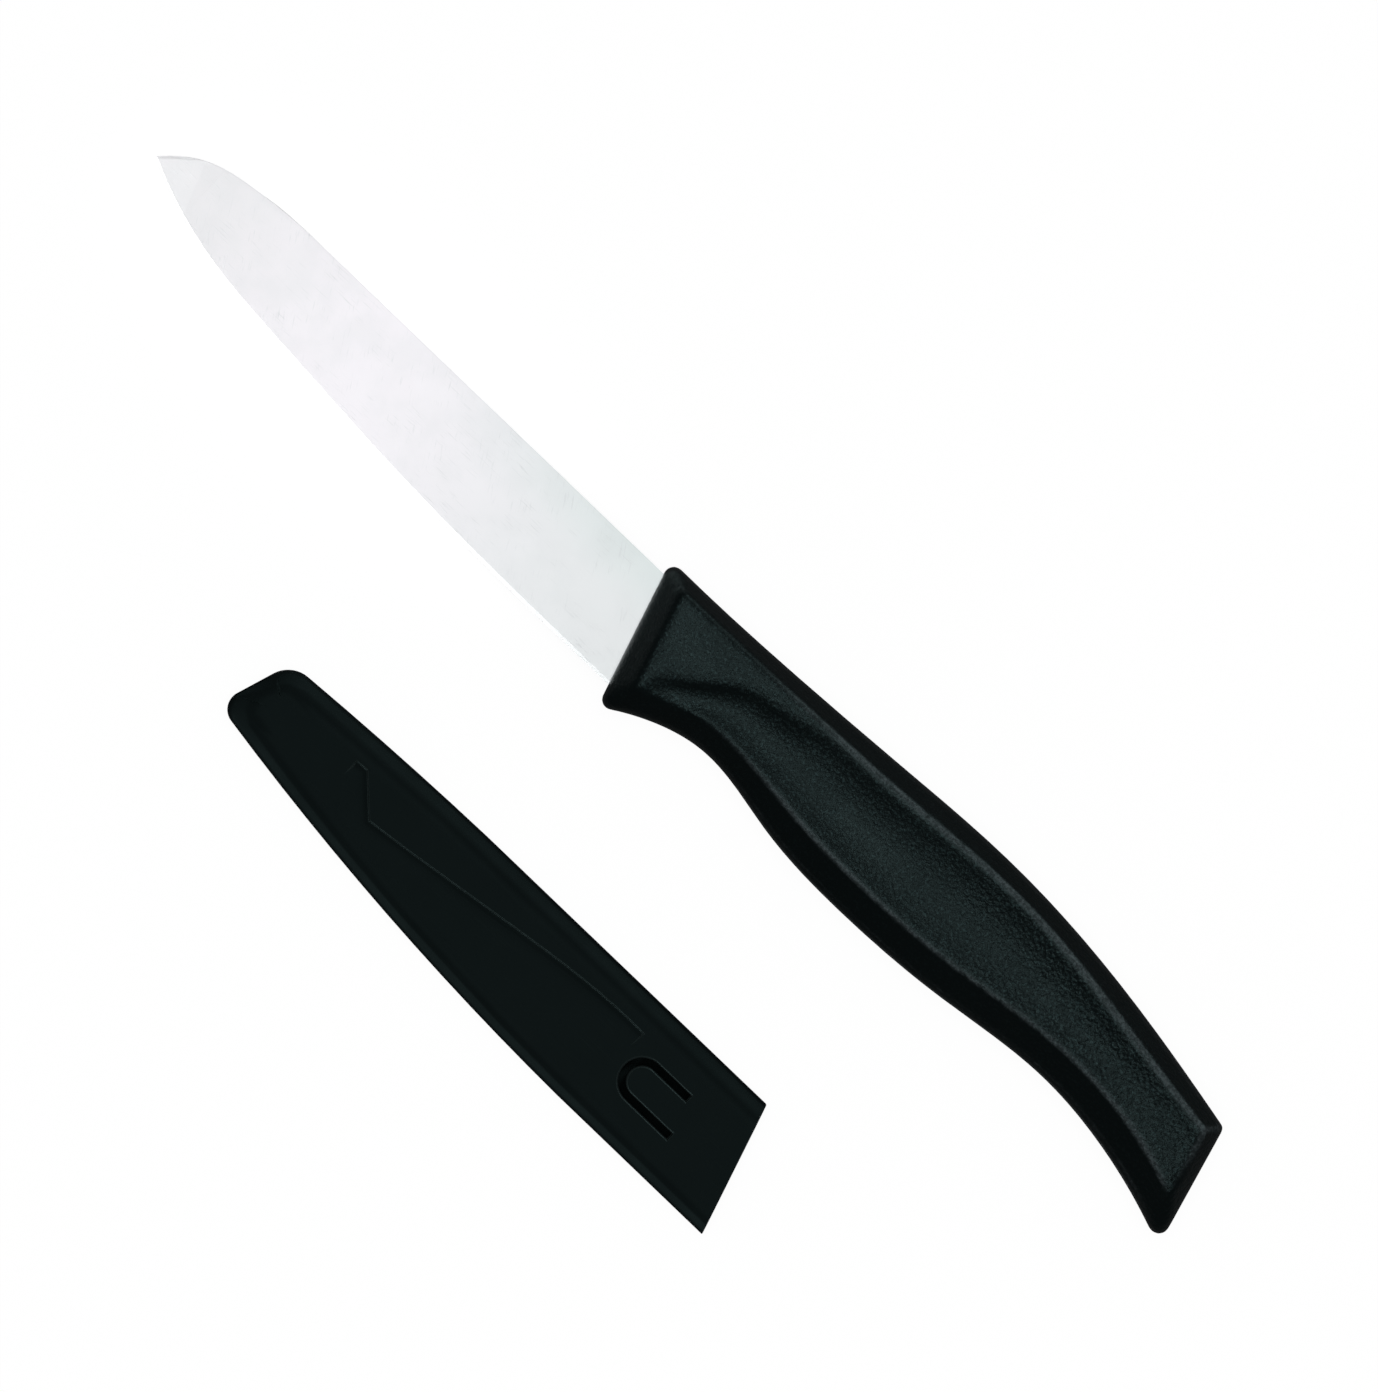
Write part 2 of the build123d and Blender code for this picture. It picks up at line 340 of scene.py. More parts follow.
@dataclass
class Workshop:
    """What several finishes share: the node groups and the span of the cloudiness."""

    grain: bpy.types.NodeTree = field(default_factory=lambda: MouldedGrain().build())
    scuffs: bpy.types.NodeTree = field(default_factory=lambda: HandlingScuffs().build())
    cloud_span: Span = (0.3, 0.7)

    def start(self, name: str) -> tuple[bpy.types.Material, Graph, bpy.types.Node, Socket]:
        """Start a material.

        Args:
            name: the material's name.

        Returns:
            The material, its graph, its surface shader and the socket of the place on the piece.
        """
        material = bpy.data.materials.new(name)
        material.use_nodes = True
        graph = Graph(material.node_tree)
        place = graph.add("ShaderNodeTexCoord").outputs["Object"]
        return material, graph, material.node_tree.nodes["Principled BSDF"], place

    def use(
        self, graph: Graph, group: bpy.types.NodeTree, place: Socket, **values: float
    ) -> bpy.types.Node:
        """Place a shared group in a material.

        Args:
            graph: the material's graph.
            group: the shared group.
            place: the socket of the place on the piece.
            values: the group's own numbers.

        Returns:
            The group's node.
        """
        return graph.put(graph.add("ShaderNodeGroup", node_tree=group), Place=place, **values)

    def drift(self, graph: Graph, scuffs: bpy.types.Node, sheen: Sheen, reach: Span) -> Socket:
        """Let a roughness drift with the cloudiness.

        Args:
            graph: the material's graph.
            scuffs: the node of the shared scuffs.
            sheen: the roughness that it drifts around.
            reach: how far it goes down and up.

        Returns:
            The socket of the roughness.
        """
        to = (sheen.value + reach[0], sheen.value + reach[1])
        return graph.remap(scuffs.outputs["Cloud"], self.cloud_span, to)


@dataclass(frozen=True)
class SteelFinish:
    """Flat-ground stainless steel with a painted reflection brightest partway along, painted shade
    on the spine side towards the heel, and its faint marks.
    """

    name: str = "blade_steel"
    # The tip, bright and heel colours paint a reflection along the blade; shaded paints shade on
    # the spine side towards the heel.
    tip: Color = (224, 224, 226)
    bright: Color = (236, 234, 238)
    heel: Color = (222, 225, 226)
    shaded: Color = (206, 219, 217)
    clouded: Color = (206, 211, 212)
    scratched: Color = (208, 212, 214)
    highlight_place: float = 0.45
    shade_reach: float = 9.0
    shade_share: float = 0.45
    cloud_span: Span = (0.38, 0.66)
    cloud_share: float = 0.16
    scratch_share: float = 0.5
    sheen: Sheen = Sheen.GROUND
    sheen_drift: Span = (0.0, 0.01)
    belt_angle: float = 58.0
    belt_length: float = 3.0
    belt_width: float = 0.3
    stray_length: float = 4.0
    stray_width: float = 0.22
    mark_depth: float = 0.012
    mark_strength: float = 0.6

    def make(
        self, workshop: Workshop, tip_x: float, heel_x: float, spine_y: float
    ) -> bpy.types.Material:
        """Build the material.

        Args:
            workshop: the shared node groups.
            tip_x: where the tip lies along the knife, in metres.
            heel_x: where the handle covers the steel, in metres.
            spine_y: where the spine lies across the knife, in metres.

        Returns:
            The finished material.
        """
        material, graph, surface, place = workshop.start(self.name)
        turn = graph.add("ShaderNodeMapping")
        graph.put(turn, Vector=place, Rotation=(0.0, 0.0, math.radians(self.belt_angle)))
        belt = workshop.use(
            graph, workshop.scuffs, turn.outputs[0], Length=self.belt_length, Width=self.belt_width
        )
        stray = workshop.use(
            graph, workshop.scuffs, place, Length=self.stray_length, Width=self.stray_width
        )
        parts = graph.split(place)
        # The painted reflection is brightest here and dims towards the tip and the heel.
        highlight_x = tip_x + (heel_x - tip_x) * self.highlight_place
        tipwards = graph.remap(parts["X"], (tip_x, highlight_x), FADE)
        heelwards = graph.remap(parts["X"], (highlight_x, heel_x))
        # Painted shade: the spine side grows darker and greener towards the heel.
        spinewards = graph.remap(
            parts["Y"], (spine_y - self.shade_reach * MM, spine_y), (0.0, self.shade_share)
        )
        shaded = graph.calc("MULTIPLY", spinewards, heelwards)
        clouded = graph.remap(belt.outputs["Cloud"], self.cloud_span, (0.0, self.cloud_share))
        lines = graph.calc("ADD", belt.outputs["Lines"], stray.outputs["Lines"])
        scratched = graph.calc("MULTIPLY", lines, self.scratch_share, clamp=True)
        colour = graph.blend(tipwards, tone(self.bright), tone(self.tip))
        for share, other in (
            (heelwards, self.heel), (shaded, self.shaded),
            (clouded, self.clouded), (scratched, self.scratched),
        ):
            colour = graph.blend(share, colour, tone(other))
        depth = self.mark_depth * MM
        graph.put(
            surface, Base_Color=colour, Metallic=1.0,
            Roughness=workshop.drift(graph, stray, self.sheen, self.sheen_drift),
            Normal=graph.bump(Height=lines, Distance=depth, Strength=self.mark_strength),
        )
        return material


@dataclass(frozen=True)
class HandleFinish:
    """Black moulded plastic with a leather grain that coarsens towards the butt, painted glints on
    its level faces and a painted highlight along its crests.
    """

    name: str = "handle_plastic"
    body: Color = (7, 11, 14)
    # The fleck colour paints glints on the grain.
    glint_fleck: Color = (66, 88, 90)
    # This colour paints a highlight along the crests.
    painted_highlight: Color = (122, 134, 138)
    glint_span: Span = (0.52, 0.66)
    lit_flat_span: Span = (0.93, 0.997)
    lit_flat_least: float = 0.1
    speck_span: Span = (0.42, 0.62)
    speck_least: float = 0.4
    sheen: Sheen = Sheen.MATT
    sheen_drift: Span = (-0.02, 0.03)
    specular: float = 0.5
    specular_tint: tuple[float, ...] = (0.66, 1.0, 1.0, 1.0)
    pebble: float = 0.6
    grain_depth: float = 0.09
    grain_least: float = 0.25
    tooth_depth: float = 0.10
    tooth_size: float = 0.48

    def make(self, workshop: Workshop, coarse_reach: Span) -> bpy.types.Material:
        """Build the material.

        Args:
            workshop: the shared node groups.
            coarse_reach: where along the handle the grain starts to coarsen and where it is
                coarsest, in metres.

        Returns:
            The finished material.
        """
        material, graph, surface, place = workshop.start(self.name)
        grain = workshop.use(
            graph, workshop.grain, place, Pebble=self.pebble, Fineness=self.tooth_size
        )
        scuffs = workshop.use(graph, workshop.scuffs, place)
        coarse = graph.remap(graph.split(place)["X"], coarse_reach, (self.grain_least, 1.0))
        tooth = grain.outputs["Tooth"]
        # Painted glints show on level faces, where the light falls, and fade on the steep bevels.
        facing = graph.split(graph.add("ShaderNodeNewGeometry").outputs["Normal"])
        upright = graph.calc("ABSOLUTE", facing["Z"])
        lit_flat = graph.remap(upright, self.lit_flat_span, (self.lit_flat_least, 1.0))
        glint_fleck = graph.calc("MULTIPLY", graph.remap(tooth, self.glint_span), lit_flat)
        # The crests' painted highlight, stored by the skin and broken up by the grain.
        highlight_share = graph.add("ShaderNodeAttribute", attribute_name=CREST_HIGHLIGHT)
        speck = graph.remap(tooth, self.speck_span, (self.speck_least, 1.0))
        painted_highlight = graph.calc("MULTIPLY", highlight_share.outputs["Fac"], speck, clamp=True)
        colour = graph.blend(glint_fleck, tone(self.body), tone(self.glint_fleck))
        colour = graph.blend(painted_highlight, colour, tone(self.painted_highlight))
        height = graph.calc("MULTIPLY", grain.outputs["Height"], coarse)
        pebbled = graph.bump(Height=height, Distance=self.grain_depth * MM, Strength=1.0)
        graph.put(
            surface, Base_Color=colour,
            Roughness=workshop.drift(graph, scuffs, self.sheen, self.sheen_drift),
            Specular_IOR_Level=self.specular, Specular_Tint=self.specular_tint,
            Normal=graph.bump(
                Height=tooth, Distance=self.tooth_depth * MM, Strength=1.0, Normal=pebbled
            ),
        )
        return material


@dataclass(frozen=True)
class GuardFinish:
    """Satin black plastic with faint rubbed lines, duller where its face is moulded lower."""

    name: str = "guard_plastic"
    body: Color = (10, 14, 15)
    rubbed: Color = (18, 24, 24)
    scuff_length: float = 12.0
    scuff_width: float = 0.16
    sheen: Sheen = Sheen.SATIN
    sheen_drift: Span = (-0.02, 0.02)
    hollow_sheen: Sheen = Sheen.DULL
    hollow_start: Span = (0.0, 0.25)
    hollow_end: Span = (0.36, 0.5)
    hollow_tilt: Span = (0.16, 0.3)
    specular: float = 0.3
    specular_tint: tuple[float, ...] = (0.62, 1.0, 1.0, 1.0)
    tooth_depth: float = 0.008
    tooth_size: float = 0.22

    def make(self, workshop: Workshop, middle: float, top: float) -> bpy.types.Material:
        """Build the material.

        Args:
            workshop: the shared node groups.
            middle: the height of the moulding's middle, in metres.
            top: the height of its upper face, in metres.

        Returns:
            The finished material.
        """
        material, graph, surface, place = workshop.start(self.name)
        grain = workshop.use(graph, workshop.grain, place, Fineness=self.tooth_size)
        scuffs = workshop.use(
            graph, workshop.scuffs, place, Length=self.scuff_length, Width=self.scuff_width
        )
        colour = graph.blend(scuffs.outputs["Lines"], tone(self.body), tone(self.rubbed))
        outward = graph.calc("ABSOLUTE", graph.calc("SUBTRACT", graph.split(place)["Z"], middle))
        depth = graph.calc("SUBTRACT", top - middle, outward)
        facing = graph.split(graph.add("ShaderNodeNewGeometry").outputs["Normal"])
        hollow = graph.remap(depth, metres(self.hollow_start))
        for value, span in ((facing["Y"], self.hollow_tilt), (depth, metres(self.hollow_end))):
            hollow = graph.calc("MULTIPLY", hollow, graph.remap(value, span, FADE))
        dull = graph.calc("MULTIPLY", hollow, self.hollow_sheen.value - self.sheen.value)
        satin = workshop.drift(graph, scuffs, self.sheen, self.sheen_drift)
        tooth = grain.outputs["Tooth"]
        graph.put(
            surface, Base_Color=colour, Roughness=graph.calc("ADD", satin, dull),
            Specular_IOR_Level=self.specular, Specular_Tint=self.specular_tint,
            Normal=graph.bump(Height=tooth, Distance=self.tooth_depth * MM, Strength=1.0),
        )
        return material


@dataclass
class Blade:
    """The steel, which keeps its ground faces but gets a clean tip without tiny folds."""

    node: str = "blade"
    body: str = "knife"
    slot: str = "blade_steel"
    tip_reach: float = 9.0
    ground_margin: float = 2.25
    ground_least: float = 0.9
    point_width: float = 0.3
    finish: SteelFinish = field(default_factory=SteelFinish)

    def dress(self, workshop: Workshop) -> bpy.types.Object:
        """Build the steel's skin, give it its finish and put it in the node's place.

        Args:
            workshop: the shared node groups.

        Returns:
            The skin.
        """
        skin = link_mesh(f"{self.node}_skin", welded_copy(self.node))
        low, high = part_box(self.node)
        self.clean_tip(skin.data, low.x + self.tip_reach * MM)
        heel_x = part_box("handle")[0].x
        skin.data.materials.clear()
        skin.data.materials.append(self.finish.make(workshop, low.x, heel_x, high.y))
        skin.data.shade_flat()
        mount(skin, self)
        return skin

    def ground_face(self, tip: bmesh.types.BMesh, end: float) -> bmesh.types.BMFace:
        """Find a face that lies in the plane to which the tip is ground.

        Args:
            tip: the tip's own mesh.
            end: how far along the knife the face's middle may lie, in metres.

        Returns:
            The largest upward face up to there.
        """
        upward = (
            face for face in tip.faces
            if face.normal.z > self.ground_least and face.calc_center_median().x < end
        )
        return max(upward, key=bmesh.types.BMFace.calc_area)

    def clean_tip(self, mesh: bpy.types.Mesh, cut: float) -> None:
        """Rebuild the outward-curved tip from its own corners, so that no face folds there.

        The corners on the spine's side are lifted to the ground plane first.

        Args:
            mesh: the welded mesh, which is changed.
            cut: where along the knife the rebuilt part ends, in metres.
        """
        rest, tip = bmesh.new(), bmesh.new()
        for work, side in ((rest, 1), (tip, -1)):
            work.from_mesh(mesh)
            bmesh.ops.bisect_plane(
                work, geom=work.verts[:] + work.edges[:] + work.faces[:],
                plane_co=(cut, 0, 0), plane_no=(side, 0, 0), clear_inner=True,
            )
        ground = self.ground_face(tip, cut - self.ground_margin * MM)
        low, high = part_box(self.node)
        middle, half = (low.z + high.z) / 2, (high.z - low.z) / 2
        back = min(tip.verts, key=lambda vertex: vertex.co.x).co.y + self.point_width * MM
        places = [vertex.co.copy() for vertex in tip.verts]
        for place in [place for place in places if place.y > back]:
            offset = (ground.verts[0].co - place).dot(ground.normal) / ground.normal.z
            rise = min(place.z + offset - middle, half)
            places += [Vector((place.x, place.y, middle + side * rise)) for side in (1, -1)]
        corners = [rest.verts.new(place) for place in places]
        bmesh.ops.convex_hull(rest, input=corners)
        inner = [corner for corner in corners if not corner.link_faces]
        bmesh.ops.delete(rest, geom=inner, context="VERTS")
        rest.to_mesh(mesh)
        rest.free()
        tip.free()


@dataclass
class Handle:
    """The moulded handle, whose crests and edges are softened as the mould leaves them."""

    node: str = "handle"
    body: str = "knife"
    slot: str = "handle_plastic"
    cell: float = 0.4
    smoothing_turns: int = 8
    loose_heights: Span = (0.8, 2.0)
    # How far the crests' painted highlight spreads, how sharp a crest takes it and where along the
    # handle it is drawn.
    highlight_turns: int = 2
    highlight_angles: Span = (0.03, 0.15)
    highlight_start: Span = (0.14, 0.33)
    highlight_end: Span = (0.94, 0.97)
    grain_depth: float = 0.012
    grain_size: float = 0.9
    grain_detail: float = 1.0
    coarse_reach: Span = (0.35, 0.8)
    finish: HandleFinish = field(default_factory=HandleFinish)

    def stations(self, shares: Span) -> Span:
        """Give places along the handle.

        Args:
            shares: the places as shares of the handle's length, from its front.

        Returns:
            The places in metres.
        """
        low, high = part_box(self.node)
        return tuple(low.x + (high.x - low.x) * share for share in shares)

    def skin_inputs(self) -> dict[str, float]:
        """Give what the skin's geometry nodes take.

        Returns:
            The values by the names of their sockets.
        """
        low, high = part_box(self.node)
        return {
            "Smoothing Turns": self.smoothing_turns,
            "Highlight Turns": self.highlight_turns,
            "Grain Depth": self.grain_depth,
            "Grain Size": self.grain_size,
            "Middle Height": (low.z + high.z) / 2,
        }

    def skin_tree(self, material: bpy.types.Material) -> bpy.types.NodeTree:
        """Build the geometry nodes that soften the moulding and store where the crests get a
        painted highlight.

        Args:
            material: the finish that the skin gets.

        Returns:
            The geometry node tree.
        """
        tree = bpy.data.node_groups.new("soft_moulding", "GeometryNodeTree")
        for side in ("INPUT", "OUTPUT"):
            tree.interface.new_socket("Geometry", in_out=side, socket_type="NodeSocketGeometry")
        for label, value in self.skin_inputs().items():
            kind = "NodeSocketInt" if isinstance(value, int) else "NodeSocketFloat"
            tree.interface.new_socket(label, in_out="INPUT", socket_type=kind)
        graph = Graph(tree)
        start, end = graph.add("NodeGroupInput"), graph.add("NodeGroupOutput")
        place = graph.add("GeometryNodeInputPosition").outputs[0]
        parts = graph.split(place)
        # Where the crests get a painted highlight.
        painted_highlight = self.highlight_share(graph, start.outputs["Highlight Turns"], parts["X"])
        keep = graph.add("GeometryNodeStoreNamedAttribute", data_type="FLOAT", domain="POINT")
        graph.put(keep, Geometry=start.outputs["Geometry"], Name=CREST_HIGHLIGHT, Value=painted_highlight)
        height = graph.calc("SUBTRACT", parts["Z"], start.outputs["Middle Height"])
        loose = graph.remap(graph.calc("ABSOLUTE", height), metres(self.loose_heights))
        soft = graph.add("GeometryNodeBlurAttribute", data_type="FLOAT_VECTOR")
        graph.put(soft, Value=place, Iterations=start.outputs["Smoothing Turns"], Weight=loose)
        grain_scale = graph.calc("DIVIDE", 1 / MM, start.outputs["Grain Size"])
        grain = graph.noise(Detail=self.grain_detail, Scale=grain_scale)
        inward = graph.calc("MULTIPLY", start.outputs["Grain Depth"], -MM)
        push = graph.put(
            graph.add("ShaderNodeVectorMath", operation="SCALE"),
            Vector=graph.add("GeometryNodeInputNormal").outputs[0],
            Scale=graph.calc("MULTIPLY", grain.outputs["Fac"], inward),
        )
        shape = keep.outputs[0]
        for kind, inputs in (
            ("GeometryNodeSetPosition", {"Position": soft.outputs[0]}),
            ("GeometryNodeSetPosition", {"Offset": push.outputs[0]}),
            ("GeometryNodeSetShadeSmooth", {}),
            ("GeometryNodeRealizeInstances", {}),
            ("GeometryNodeSetMaterial", {"Material": material}),
        ):
            shape = graph.put(graph.add(kind), Geometry=shape, **inputs).outputs[0]
        graph.put(end, Geometry=shape)
        return tree

    def highlight_share(self, graph: Graph, turns: Socket, along: Socket) -> Socket:
        """Work out the painted highlight: on the crests, along a stretch of the handle.

        Args:
            graph: the geometry nodes' graph.
            turns: the socket of how often the crests' sharpness is spread.
            along: the socket of the place along the knife.

        Returns:
            The socket of the painted highlight's share, from 0 to 1.
        """
        angle = graph.add("GeometryNodeInputMeshEdgeAngle").outputs["Signed Angle"]
        spread = graph.add("GeometryNodeBlurAttribute", data_type="FLOAT")
        graph.put(spread, Value=angle, Iterations=turns)
        lit_stretch = graph.calc(
            "MULTIPLY",
            graph.remap(along, self.stations(self.highlight_start)),
            graph.remap(along, self.stations(self.highlight_end), FADE),
        )
        return graph.calc("MULTIPLY", graph.remap(spread.outputs[0], self.highlight_angles), lit_stretch)

    def dress(self, workshop: Workshop) -> bpy.types.Object:
        """Build the handle's soft skin and put it in the node's place.

        Args:
            workshop: the shared node groups.

        Returns:
            The skin.
        """
        material = self.finish.make(workshop, self.stations(self.coarse_reach))
        skin = link_mesh(f"{self.node}_skin", welded_copy(self.node))
        even_cells(skin, self.cell)
        grow(skin, self.skin_tree(material), self.skin_inputs())
        mount(skin, self)
        return skin


@dataclass
class Guard:
    """The sheath with its spring tongue and the step across its face."""

    node: str = "blade_guard"
    body: str = "guard"
    slot: str = "guard_plastic"
    flat_angle: float = 0.4
    edge_angle: float = 35.0
    edge_width: float = 0.15
    edge_steps: int = 3
    slot_edge_width: float = 0.32
    slot_reach: tuple[float, float, float] = (26.0, 4.2, 0.1)
    plain_reach: float = 6.0
    band_depths: Span = (0.5, 1.0)
    band_flush: float = 0.05
    band_cuts: int = 4
    crown_power: float = 1.8
    finish: GuardFinish = field(default_factory=GuardFinish)
    # The rounded edges get this lighter colour: a painted highlight along them.
    edge_highlight_finish: GuardFinish = GuardFinish(
        name="guard_edge_highlight", body=(40, 48, 48), sheen=Sheen.RUBBED, hollow_sheen=Sheen.RUBBED
    )

    def dress(self, workshop: Workshop) -> bpy.types.Object:
        """Round the guard's crisp edges, give them a painted highlight and put the result in the
        node's place.

        Args:
            workshop: the shared node groups.

        Returns:
            The skin.
        """
        skin = link_mesh(f"{self.node}_skin", welded_copy(self.node, self.flat_angle))
        low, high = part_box(self.node)
        middle = (low.z + high.z) / 2
        self.crown_bands(skin.data, middle, high.z)
        self.weigh_edges(skin.data, Vector((high.x, (low.y + high.y) / 2, high.z)))
        skin.data.materials.clear()
        for finish in (self.finish, self.edge_highlight_finish):
            skin.data.materials.append(finish.make(workshop, middle, high.z))
        # The second material paints a highlight on the rounded edges.
        plain, painted_highlight = range(len(skin.data.materials))
        rounded = skin.modifiers.new("round_edges", "BEVEL")
        rounded.width = self.slot_edge_width * MM
        rounded.segments = self.edge_steps
        rounded.limit_method = "WEIGHT"
        rounded.use_clamp_overlap = False
        rounded.material = painted_highlight
        skin.modifiers.new("even_shading", "WEIGHTED_NORMAL")
        skin.data.shade_smooth()
        settle(skin)
        for vertex in skin.data.vertices:
            parts = zip(vertex.co, low, high)
            vertex.co = [min(max(part, least), most) for part, least, most in parts]
        for face in skin.data.polygons:
            if face.center.x < low.x + self.plain_reach * MM:
                face.material_index = plain
        mount(skin, self)
        return skin

    def weigh_edges(self, mesh: bpy.types.Mesh, mouth: Vector) -> None:
        """Note how wide each crisp edge is rounded: fully at the tongue's slot, less elsewhere.

        Args:
            mesh: the guard's mesh, which is changed.
            mouth: the middle of the mouth's end at the height of the upper face, in metres.
        """
        reach = metres(self.slot_reach)
        work = bmesh.new()
        work.from_mesh(mesh)
        weights = work.edges.layers.float.new("bevel_weight_edge")
        for edge in work.edges:
            if edge.calc_face_angle(0.0) > math.radians(self.edge_angle):
                offsets = [mouth - end.co for end in edge.verts]
                at_slot = all(
                    abs(part) < most for offset in offsets for part, most in zip(offset, reach)
                )
                edge[weights] = 1.0 if at_slot else self.edge_width / self.slot_edge_width
        work.to_mesh(mesh)
        work.free()

    def crown_bands(self, mesh: bpy.types.Mesh, middle: float, top: float) -> None:
        """Give the bands along the guard's sides a gentle crown, on its upper and its lower face.

        Args:
            mesh: the welded mesh, which is changed.
            middle: the height of the guard's middle, in metres.
            top: the height of its upper face, in metres.
        """
        def depth(vertex: bmesh.types.BMVert) -> float:
            """Give how far a point lies below the face on its side."""
            return top - middle - abs(vertex.co.z - middle)

        work = bmesh.new()
        work.from_mesh(mesh)
        least, most = metres(self.band_depths)
        across = {}
        for face in work.faces:
            depths = [depth(vertex) for vertex in face.verts]
            if min(depths) < self.band_flush * MM and least < max(depths) < most:
                for edge in face.edges:
                    first, second = edge.verts
                    if abs(depth(first) - depth(second)) > least:
                        across[edge] = max(depth(first), depth(second))
        reach = max(across.values())
        made = bmesh.ops.subdivide_edges(
            work, edges=list(across), cuts=self.band_cuts, use_grid_fill=True
        )
        for vertex in {part for part in made["geom_inner"] if isinstance(part, bmesh.types.BMVert)}:
            rise = depth(vertex) - reach * (depth(vertex) / reach) ** self.crown_power
            vertex.co.z += math.copysign(rise, vertex.co.z - middle)
        work.to_mesh(mesh)
        work.free()


def mount(skin: bpy.types.Object, piece: Blade | Handle | Guard) -> None:
    """Let a skin ride on its body in place of its node.

    Args:
        skin: the finished skin.
        piece: the piece that it belongs to.
    """
    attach(skin, piece.body)
    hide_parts(piece.node)
    LOG.info("%s: skin, %d faces", skin.name, len(skin.data.polygons))


def welded_copy(node: str, flat_angle: float = 0.0) -> bpy.types.Mesh:
    """Copy a node's mesh with its loose triangles joined.

    Args:
        node: the node's name.
        flat_angle: faces that meet within this many degrees become one.

    Returns:
        The new mesh.
    """
    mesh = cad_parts[node].data.copy()
    work = bmesh.new()
    work.from_mesh(mesh)
    bmesh.ops.remove_doubles(work, verts=work.verts, dist=WELD_REACH * MM)
    if flat_angle:
        bmesh.ops.dissolve_limit(
            work, angle_limit=math.radians(flat_angle), verts=work.verts, edges=work.edges
        )
    work.to_mesh(mesh)
    work.free()
    return mesh


def link_mesh(name: str, mesh: bpy.types.Mesh) -> bpy.types.Object:
    """Make an object of a mesh and link it to the scene.

    Args:
        name: the object's name.
        mesh: its mesh.

    Returns:
        The new object.
    """
    piece = bpy.data.objects.new(name, mesh)
    bpy.context.scene.collection.objects.link(piece)
    return piece


def settle(piece: bpy.types.Object) -> None:
    """Turn a piece's modifiers into its plain mesh.

    Args:
        piece: the piece, whose modifiers go.
    """
    bpy.context.view_layer.update()
    graph = bpy.context.evaluated_depsgraph_get()
    seen = piece.evaluated_get(graph)
    mesh = bpy.data.meshes.new_from_object(seen, preserve_all_data_layers=True, depsgraph=graph)
    piece.modifiers.clear()
    piece.data = mesh


def even_cells(piece: bpy.types.Object, cell: float) -> None:
    """Rebuild a piece's surface from small even cells, worked out in millimetres.

    Args:
        piece: the piece, whose mesh is replaced.
        cell: the side of a cell in millimetres.
    """
    piece.data.transform(Matrix.Scale(1 / MM, 4))
    piece.data.update()
    remesh = piece.modifiers.new("even_cells", "REMESH")
    remesh.mode = "VOXEL"
    remesh.voxel_size = cell
    settle(piece)
    piece.data.transform(Matrix.Scale(MM, 4))


def grow(piece: bpy.types.Object, tree: bpy.types.NodeTree, inputs: dict[str, float]) -> None:
    """Run a geometry node tree on a piece and keep what it makes as a plain mesh.

    Args:
        piece: the piece that the tree works on.
        tree: the geometry node tree.
        inputs: the tree's inputs by name.
    """
    modifier = piece.modifiers.new(tree.name, "NODES")
    modifier.node_group = tree
    for socket in tree.interface.items_tree:
        if socket.item_type == "SOCKET" and socket.name in inputs:
            modifier[socket.identifier] = inputs[socket.name]
    settle(piece)


@dataclass(frozen=True)
class Lamp:
    """A soft square light that faces the knife, with its place and its side in metres."""

    name: str
    place: Point
    side: float
    watts: float

    def hang(self, *pieces: bpy.types.Object) -> None:
        """Hang the light.

        Args:
            pieces: the only pieces that it falls on.
        """
        light = bpy.data.lights.new(self.name, "AREA")
        light.size = self.side
        light.energy = self.watts
        hung = bpy.data.objects.new(self.name, light)
        bpy.context.scene.collection.objects.link(hung)
        hung.location = self.place
        hung.rotation_euler = Vector(self.place).to_track_quat("Z", "Y").to_euler()
        lit = bpy.data.collections.new(f"{self.name}_falls_on")
        for piece in pieces:
            lit.objects.link(piece)
        hung.light_linking.receiver_collection = lit


